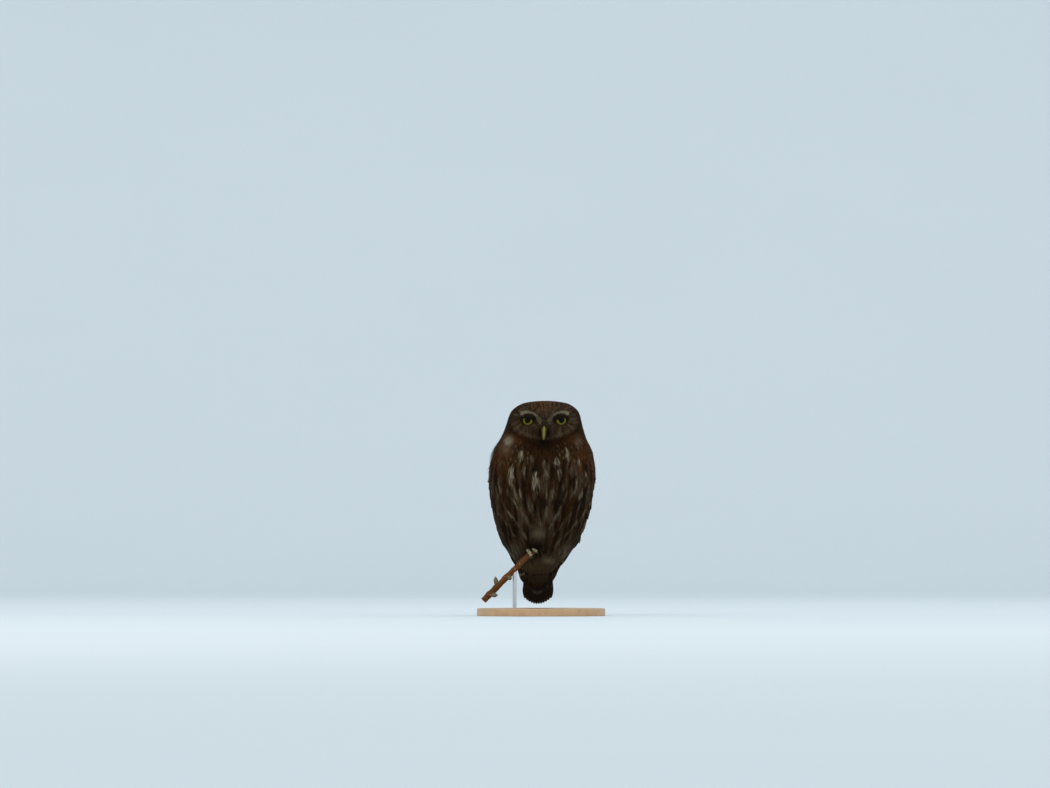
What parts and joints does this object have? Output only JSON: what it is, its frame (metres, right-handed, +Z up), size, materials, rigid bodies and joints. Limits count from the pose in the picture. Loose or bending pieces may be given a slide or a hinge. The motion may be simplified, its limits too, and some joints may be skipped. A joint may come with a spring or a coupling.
{
  "type": "little owl",
  "caption": "Life-size still model of a little owl, upright on a short cut twig, on a round display stand with one rod.",
  "frame": {"origin": "middle of the stand base's underside, on the surface that it stands on", "axes": "+Z up; the bird faces -Y, so its left side is towards +X"},
  "size_m": [0.136, 0.136, 0.2277],
  "materials": {
    "plumage": "soft brown contour feathers with buff spots and streaks",
    "leg_plumage": "short pale buff feathering",
    "flight_feathers": "smooth brown vanes with pale bars",
    "bill_horn": "greenish yellow horn",
    "eye": "yellow iris with a black pupil under a clear wet surface",
    "toe_skin": "pale scaly skin with bristly feathering",
    "claw_horn": "dark grey horn",
    "bark": "smooth young orange-brown bark with grey-green buds",
    "turned_wood": "turned and oiled wood",
    "rod_steel": "brushed"
  },
  "bodies": {
    "root": {"head": "plumage", "neck": "plumage", "torso": "plumage", "leg_left": "leg_plumage", "leg_right": "leg_plumage", "wing_left": "flight_feathers", "wing_right": "flight_feathers", "tail": "flight_feathers", "bill_upper": "bill_horn", "bill_lower": "bill_horn", "eye_left": "eye", "eye_right": "eye", "foot_left": "toe_skin", "foot_right": "toe_skin", "perch_twig": "bark", "stand_base": "turned_wood", "stand_rod": "rod_steel", "claw_left_1": "claw_horn", "claw_left_2": "claw_horn", "claw_left_3": "claw_horn", "claw_left_4": "claw_horn", "claw_right_1": "claw_horn", "claw_right_2": "claw_horn", "claw_right_3": "claw_horn", "claw_right_4": "claw_horn"}
  },
  "joints": []
}
